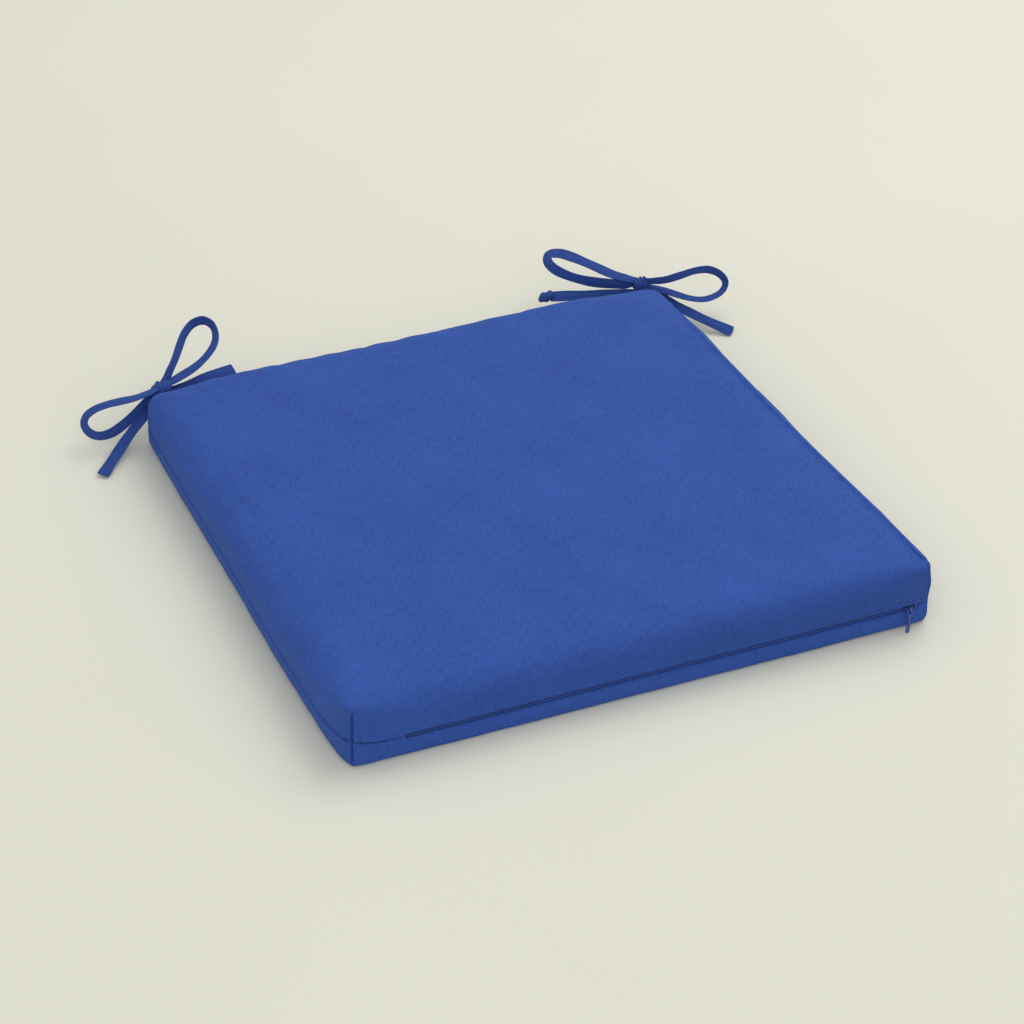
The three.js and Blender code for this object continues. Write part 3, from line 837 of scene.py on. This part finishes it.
def coarse_cover():
    """The whole cover's points and faces in few, and which points its seams, darts and underside hold."""
    lines, rows = grid_lines(*SIM_LINES), np.linspace(0, 1, SIM_ROWS)
    start, faces, held = [], [], []
    for upper in (True, False):
        part = Panel(upper, lines, rows, no_gap).finished()
        faces.append(part["faces"] + sum(len(points) for points in start))
        start.append(placed(*part["box"].T))
        distances = (part["from_seam"], part["from_dart"], part["box"][:, 2])
        held.append(np.minimum.reduce(distances) < HELD_NEAR)
    return np.concatenate(start), np.concatenate(faces), np.concatenate(held)


def simulate_cover():
    """A coarse copy of the whole cover, blown up a little as cloth held at its seams.
    Returns where its points were and how far out each one rose."""
    start, faces, held = coarse_cover()
    mesh = bpy.data.meshes.new("sim")
    mesh.from_pydata(start.tolist(), [], faces.tolist())
    edit(mesh, lambda body: bmesh.ops.recalc_face_normals(body, faces=body.faces))
    obj = bpy.data.objects.new("sim", mesh)
    bpy.context.scene.collection.objects.link(obj)
    group = obj.vertex_groups.new(name="held")
    group.add(np.flatnonzero(held).tolist(), 1.0, "REPLACE")
    cloth = obj.modifiers.new("Cloth", "CLOTH")
    for key, value in CLOTH.items():
        setattr(cloth.settings, key, value)
    cloth.settings.effector_weights.gravity = 0
    cloth.collision_settings.use_collision = False
    scene = bpy.context.scene
    for step in range(1, SIM_FRAMES + 1):
        scene.frame_set(step)
    graph = bpy.context.evaluated_depsgraph_get()
    moved = np.array([v.co for v in obj.evaluated_get(graph).data.vertices])
    scene.frame_set(1)
    bpy.data.objects.remove(obj)
    outward, _ = normals_of(start, faces)
    rise = np.einsum("ij,ij->i", moved - start, outward)
    return start, outward * np.clip(rise, -SIM_DIP, SIM_CAP)[:, None]


NEAREST, SPREAD = 9, 6 * MM


def soft_move(points, sim):
    """The simulated move at each point, evened out over its nearest coarse points."""
    if sim is None:
        return np.zeros_like(points)
    start, move = sim
    tree = kdtree.KDTree(len(start))
    for i, p in enumerate(start):
        tree.insert(p, i)
    tree.balance()
    out = np.zeros_like(points)
    for i, p in enumerate(points):
        near = tree.find_n(p, NEAREST)
        weights = np.array([math.exp(-((d / SPREAD) ** 2)) + 1e-9 for _, _, d in near])
        out[i] = weights @ move[[index for _, index, _ in near]] / weights.sum()
    return out


def waves(places, seed, shortest, longest, count=7):
    """A sum of sine waves of random length and start, from about -1 to 1."""
    dice = np.random.default_rng(seed)
    total = np.zeros_like(places)
    for length, start in zip(dice.uniform(shortest, longest, count), dice.uniform(0, 2 * np.pi, count)):
        total += np.sin(2 * np.pi * places / length + start)
    return total / math.sqrt(count)


# Soft creases in the top, as a line from one point to another in mm, with their width and depth
CREASES = [
    ((-208, 178), (-178, 150), 3.0, 0.9), ((-206, 196), (-190, 170), 2.5, 0.8),
    ((20, 208), (36, 190), 3.0, 0.5), ((-40, 210), (-30, 196), 3.0, 0.5),
    ((90, 209), (98, 192), 3.0, 0.5), ((-110, 209), (-96, 194), 3.0, 0.5),
    ((30, -190), (75, -110), 7.0, 0.35), ((60, -200), (120, -100), 7.0, 0.35),
    ((95, -195), (150, -60), 6.0, 0.4), ((140, -190), (180, -70), 6.0, 0.4),
    ((-10, -60), (60, 20), 9.0, 0.3), ((70, -60), (120, 30), 8.0, 0.3),
]


def crease_depth(x, y):
    """How deep the creases are at each point, in mm."""
    total = np.zeros_like(x)
    for start, end, width, depth in CREASES:
        a, b = np.array(start) * MM, np.array(end) * MM
        along = b - a
        t = ((x - a[0]) * along[0] + (y - a[1]) * along[1]) / (along @ along)
        away = np.hypot(x - a[0] - along[0] * t, y - a[1] - along[1] * t)
        fade = smooth(-0.25, 0.3, t) * (1 - smooth(0.7, 1.25, t))
        total += depth * fade * hump(away, width * MM)
    return total


# Depths and widths of the detail along the seams and darts, in mm
GROOVE, LIP, LIP_AT = (1.5, 1.1), (0.35, 1.5), 2.6
LIP_SHARES = {FRONT: 2.2, RIGHT: 2.2}
OTHER_LIP_SHARE = 1.3
PUCKER, PUCKER_REACH, PUCKER_LENGTHS, FRONT_PUCKER = 0.26, 5.5, (5.5 * MM, 9 * MM), 0.45
FRONT_DART, BACK_DART, DART_WIDTH = 3.0, 1.5, 0.8
DART_RIDGE, DART_RIDGE_AT = (0.5, 1.3), 2.4
# Depths of the waves in the top, in mm
BACK_PUCKER, SWELL, RIPPLE = 0.2, 0.28, 0.23


def seam_detail(part, upper):
    """How far out the cloth stands near the seam: a groove, a lip above it and small puckers."""
    seam, side = part["from_seam"] / MM, part["side"]
    groove = GROOVE[0] * hump(seam, GROOVE[1], 1.6)
    lip = LIP[0] * hump(seam - LIP_AT, LIP[1])
    if upper:
        lip *= np.array([LIP_SHARES.get(k, OTHER_LIP_SHARE) for k in range(-1, 4)])[side + 1]
    wave = waves(part["place"] * HALF, 5 if upper else 6, *PUCKER_LENGTHS)
    pucker = PUCKER * wave * np.exp(-seam / PUCKER_REACH) * smooth(0.2, 2, seam)
    return lip + pucker * np.where(side == FRONT, FRONT_PUCKER, 1) - groove


def dart_detail(part, y, z):
    """How far out the cloth stands at the corners' darts: a sharp line and a ridge beside it."""
    dart = part["from_dart"] / MM
    ends = smooth(1 * MM, 5 * MM, z) * (1 - 0.75 * smooth(41 * MM, 46 * MM, z))
    line = np.where(y < 0, FRONT_DART, BACK_DART) * hump(dart, DART_WIDTH)
    ridge = DART_RIDGE[0] * hump(dart - DART_RIDGE_AT, DART_RIDGE[1]) * (part["side"] > Panel.FACE)
    return (ridge - line) * ends


def top_detail(x, y):
    """How far up the top stands: slow swells, puckers at its back, ripples at its front right, creases."""
    from_edge = HALF - np.maximum(np.abs(x), np.abs(y))
    swell = waves(x + 0.35 * y, 11, 40 * MM, 95 * MM) + waves(y - 0.3 * x, 12, 45 * MM, 110 * MM)
    back = waves(x, 8, 16 * MM, 34 * MM) * hump(y - HALF, 0.02)
    ripple = waves(x - 0.62 * y + 0.004 * np.sin(y * 60), 13, 9 * MM, 17 * MM)
    ripple *= smooth(-0.02, 0.12, x) * (1 - smooth(0.0, 0.16, y + 0.02)) * smooth(0, 0.02, from_edge)
    total = SWELL * swell * smooth(0, 0.03, from_edge) + BACK_PUCKER * back + RIPPLE * ripple
    return total - crease_depth(x, y)


def surface_detail(part, points, upper):
    """How far each point moves out along its normal."""
    x, y, z = points.T
    total = seam_detail(part, upper) + dart_detail(part, y, z)
    if upper:
        total += top_detail(x, y)
    return total * MM


# Where the front is held back: how far past the zip's ends, and round the slot's height
EASE_LEFT, EASE_RIGHT = (-12 * MM, 2 * MM), -3 * MM
SLOT_BELOW, SLOT_ABOVE = (-3.6 * MM, -2.6 * MM), (2 * MM, 2.8 * MM)


def cleared(points):
    """The points with the front's lips and lower wall held back, where the slider and its pull pass."""
    x, y, z = points.T
    in_travel = smooth(*EASE_LEFT, x - ZIP_LEFT) * (1 - smooth(ZIP_RIGHT + EASE_RIGHT, HALF, x))
    in_slot = smooth(*SLOT_BELOW, z - ZIP_Z)
    above = smooth(*SLOT_ABOVE, z - ZIP_Z)
    limit = -(WALL_LIMIT + (SLOT_LIMIT - WALL_LIMIT) * in_slot + 5 * MM * above)
    points = points.copy()
    points[:, 1] = y + in_travel * np.maximum(limit - y, 0)
    return points


FABRIC_THICK = 0.6 * MM
FLOOR_GAP, RESTS_BELOW = 0.15 * MM, 0.8 * MM
# The spacing of the panels' grids, and how far down from the edge their rows lie, in mm
UPPER_LINES, LOWER_LINES = (2.65, 0.6, 25), (3.2, 0.6, 25)
UPPER_ROWS = (0, 0.5, 1, 1.6, 2.3, 3.2, 4.3, 5.6, 7.2, 9, 11, 13, 15, 17, 19, 21, 23, 25, 27, 29, 30.5, 31.5)
LOWER_ROWS = (0, 0.5, 1, 1.6, 2.3, 3.2, 4.4, 5.8, 7.4, 9, 10.7, 12.4, 14.2, 16)


def make_panel(name, node, upper, lines, rows, sim, material):
    """A cover panel: the rounded form, its simulated rise and its detail, as a thin shell of fabric."""
    part = Panel(upper, grid_lines(*lines), np.array(rows) / rows[-1], zip_gap).finished()
    points = placed(*part["box"].T)
    points = points + soft_move(points, sim)
    normals, flip = normals_of(points, part["faces"])
    detail = surface_detail(part, points, upper)
    rests = points[:, 2] < RESTS_BELOW
    points = cleared(points + normals * np.where(rests, 0, detail)[:, None])
    points[:, 2] = np.maximum(points[:, 2], FLOOR_GAP)
    faces = part["faces"].copy()
    faces[flip] = faces[flip][:, ::-1]
    cloth = part["corner_cloth"].copy()
    cloth[flip] = cloth[flip][:, ::-1]
    made = new_object(name, points, faces.tolist(), material)
    layer = made.data.uv_layers.new(name="weave")
    layer.data.foreach_set("uv", cloth.reshape(-1, 2).astype(np.float32).ravel())
    apply_modifier(made, "SOLIDIFY", thickness=FABRIC_THICK, offset=-1, use_rim=True)
    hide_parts(node)
    return made


FILLING_LINES = (12, 6, 30)
# The thinnest a slab gets, how far in the foam and the wadding lie, and the gap between them
THIN = 0.5 * MM
CORE_INSET, SKIN_INSET, SKIN_GAP, UNDER_FILLING = 6 * MM, 3 * MM, 0.3 * MM, 0.9 * MM


def filling_sheets(inset):
    """The upper and lower faces of the cushion's form, drawn in by inset."""
    lines = grid_lines(*FILLING_LINES)
    x, y = (a.ravel() for a in np.meshgrid(lines, lines, indexing="ij"))
    upper = placed(x, y, top_height(x, y) - inset, inset)
    lower = placed(x, y, np.full_like(x, inset), inset)
    return upper, lower


def make_filling(name, node, upper, lower, low, high, material, slot):
    """A closed slab of filling between two sheets of points, no lower than low and no higher than high."""
    count = math.isqrt(len(upper))
    upper, lower = upper.copy(), lower.copy()
    upper[:, 2] = np.clip(upper[:, 2], low + THIN, high)
    lower[:, 2] = np.clip(lower[:, 2], low, high - THIN)
    index = np.arange(count * count).reshape(count, count)
    quads = grid_faces(index)
    rim = np.concatenate([index[:-1, 0], index[-1, :-1], index[:0:-1, -1], index[0, :0:-1]])
    after = np.roll(rim, -1)
    walls = np.stack([rim + count**2, after + count**2, after, rim], 1)
    faces = quads.tolist() + (quads + count**2)[:, ::-1].tolist() + walls.tolist()
    made = new_object(name, np.concatenate([upper, lower]), faces, material)
    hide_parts(node)


# Zip


COIL_PITCH, COIL_RADIUS, COIL_WIRE = 1.3 * MM, 0.68 * MM, 0.34 * MM
# How far a spiral's middle lies from the zip's, and how far behind its node's
COIL_AWAY, COIL_BACK = 0.98 * MM, 0.1 * MM
COIL_STEPS, WIRE_SIDES = 9, 5


def make_coil(name, node, side, material):
    """One half of the coil: a spiral of nylon along the seam."""
    low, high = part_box(node)
    turns = int((high.x - low.x - 2 * COIL_WIRE) / COIL_PITCH)
    count = turns * COIL_STEPS + 1
    t = np.arange(count) / COIL_STEPS
    turn = 2 * np.pi * t
    line = np.stack([
        low.x + COIL_WIRE + COIL_PITCH * t + 0.25 * COIL_PITCH * side * np.cos(turn),
        (low.y + high.y) / 2 + COIL_BACK + 0.85 * COIL_RADIUS * np.cos(turn),
        ZIP_Z + side * COIL_AWAY + COIL_RADIUS * np.sin(turn) * side,
    ], 1)
    tangent = unit(np.gradient(line, axis=0))
    a = unit(np.cross(tangent, np.array([1.0, 0, 0])))
    b = np.cross(tangent, a)
    angles = 2 * np.pi * np.arange(WIRE_SIDES)[:, None] / WIRE_SIDES
    rings = line[:, None] + COIL_WIRE * (a[:, None] * np.cos(angles) + b[:, None] * np.sin(angles))
    index = np.arange(count * WIRE_SIDES).reshape(count, WIRE_SIDES)
    nxt = np.roll(index, -1, axis=1)
    quads = np.stack([index[:-1], nxt[:-1], nxt[1:], index[1:]], -1).reshape(-1, 4).tolist()
    quads += [index[0][::-1].tolist(), index[-1].tolist()]
    made = new_object(name, rings.reshape(-1, 3), quads, material)
    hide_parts(node)


# A tape's section: how far from the zip's middle, and how far in front of the cushion's, in mm; it
# steps back behind the coil and leaves a slit for the slider's neck
TAPE_SECTION = [(0.4, 213.45), (1.4, 213.45), (2.3, 213.5), (2.9, 213.95), (4.5, 214.1), (9.2, 214.1)]
TAPE_STEP, TAPE_THICK = 3 * MM, 0.22 * MM


def make_tape(name, node, side, material):
    """A woven tape behind the lip, with its edge behind the coil."""
    count = round((ZIP_RIGHT - ZIP_LEFT) / TAPE_STEP)
    run = np.linspace(ZIP_LEFT, ZIP_RIGHT, count + 1)
    across, ahead = np.array(TAPE_SECTION).T * MM
    x, out = np.meshgrid(run, across, indexing="ij")
    y = -np.broadcast_to(ahead, x.shape) + 0.05 * MM * waves(x + out, 21, 15 * MM, 40 * MM)
    points = np.stack([x, y, ZIP_Z + side * out], -1).reshape(-1, 3)
    quads = grid_faces(np.arange(len(points)).reshape(x.shape))
    made = new_object(name, points, quads[:, ::side].tolist(), material)
    apply_modifier(made, "SOLIDIFY", thickness=TAPE_THICK, offset=0)
    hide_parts(node)


# How far the pull leans for each metre below its eye, how far its eye reaches, and its edges' rounding
PULL_LEAN = 0.40
EYE_REACH = 2.6 * MM
PULL_EDGE = 0.16 * MM


def make_pull(material):
    """The pull, hanging a little askew: below its eye it leans toward the zip's open end."""
    joint = next(j for j in frame["record"]["behaviour"]["joints"] if j["name"] == "pull_swing")
    pivot_z = joint["pos_m"][2]
    mesh = frame["nodes"]["zip_pull"].data
    vertices = [v.co.copy() for v in mesh.vertices]
    for v in vertices:
        v.x -= PULL_LEAN * max(0, pivot_z - EYE_REACH - v.z)
    faces = [tuple(face.vertices) for face in mesh.polygons]
    made = new_object("leaning_pull", vertices, faces, material, "pull", soft=False)
    edit(made.data, lambda body: bmesh.ops.remove_doubles(body, verts=body.verts, dist=0.01 * MM))
    sharp = math.radians(50)
    apply_modifier(made, "BEVEL", width=PULL_EDGE, segments=3, limit_method="ANGLE", angle_limit=sharp)
    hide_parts("zip_pull")


def make_zip(coil_material, metal_material, tape_material):
    make_coil("zip_spiral_upper", "zip_coil_upper", 1, coil_material)
    make_coil("zip_spiral_lower", "zip_coil_lower", -1, coil_material)
    make_pull(metal_material)
    for node in ("zip_slider", "zip_bottom_stop", "zip_top_stop_upper", "zip_top_stop_lower"):
        slots = frame["nodes"][node].data.materials
        slots.clear()
        slots.append(metal_material)
    make_tape("zip_upper_tape", "zip_tape_upper", 1, tape_material)
    make_tape("zip_lower_tape", "zip_tape_lower", -1, tape_material)


# Building

make_camera()
make_studio()

strip_fabric = fabric_material("strip_twill", STRIP_BLUE, 1.3 * MM, 0.18 * MM)
cover_fabric = fabric_material("cover_twill", FABRIC_BLUE, 1.45 * MM, 0.26 * MM, wall_start=0.203)
under_fabric = fabric_material("cover_twill_under", FABRIC_BLUE, 1.45 * MM, 0.2 * MM, strength=0.2)
foam = grain_material("foam_cells", (0.80, 0.74, 0.55), 900, 0.95, 0.3)
fibre = grain_material("polyester_fibre", (0.86, 0.86, 0.83), 400, 0.95, 0.5)
# The coil's colour is the cloth's blue made lighter: partly its own colour, partly a painted lightening
# against the shade that the upper lip casts on it.
nylon = grain_material("nylon_coil", (0.048, 0.112, 0.44), 2500, 0.40, 0.02)
enamel = grain_material("blue_enamel", (0.034, 0.074, 0.29), 1800, 0.38, 0.02, metallic=0.2)
woven = grain_material("woven_tape", (0.030, 0.070, 0.28), 3000, 0.85, 0.1)

make_ties(strip_fabric)

sim = simulate_cover()
cover_top = make_panel("upper_panel", "cover_top", True, UPPER_LINES, UPPER_ROWS, sim, cover_fabric)
cover_bottom = make_panel("lower_panel", "cover_bottom", False, LOWER_LINES, LOWER_ROWS, sim, under_fabric)

core_low, core_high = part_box("foam_core")
core = filling_sheets(CORE_INSET)
make_filling("foam_slab", "foam_core", *core, core_low.z, core_high.z, foam, "foam")
skin_upper, skin_lower = filling_sheets(SKIN_INSET)
over_core, under_core = core_high.z + SKIN_GAP, core_low.z - SKIN_GAP
flat_upper, flat_lower = skin_upper * (1, 1, 0), skin_lower * (1, 1, 0) + (0, 0, HALF)
make_filling("upper_wadding", "wadding_top", skin_upper, flat_upper, over_core, HALF, fibre, "wadding")
lower_wadding = (flat_lower, skin_lower, UNDER_FILLING, under_core)
make_filling("lower_wadding", "wadding_bottom", *lower_wadding, fibre, "wadding")

make_zip(nylon, enamel, woven)
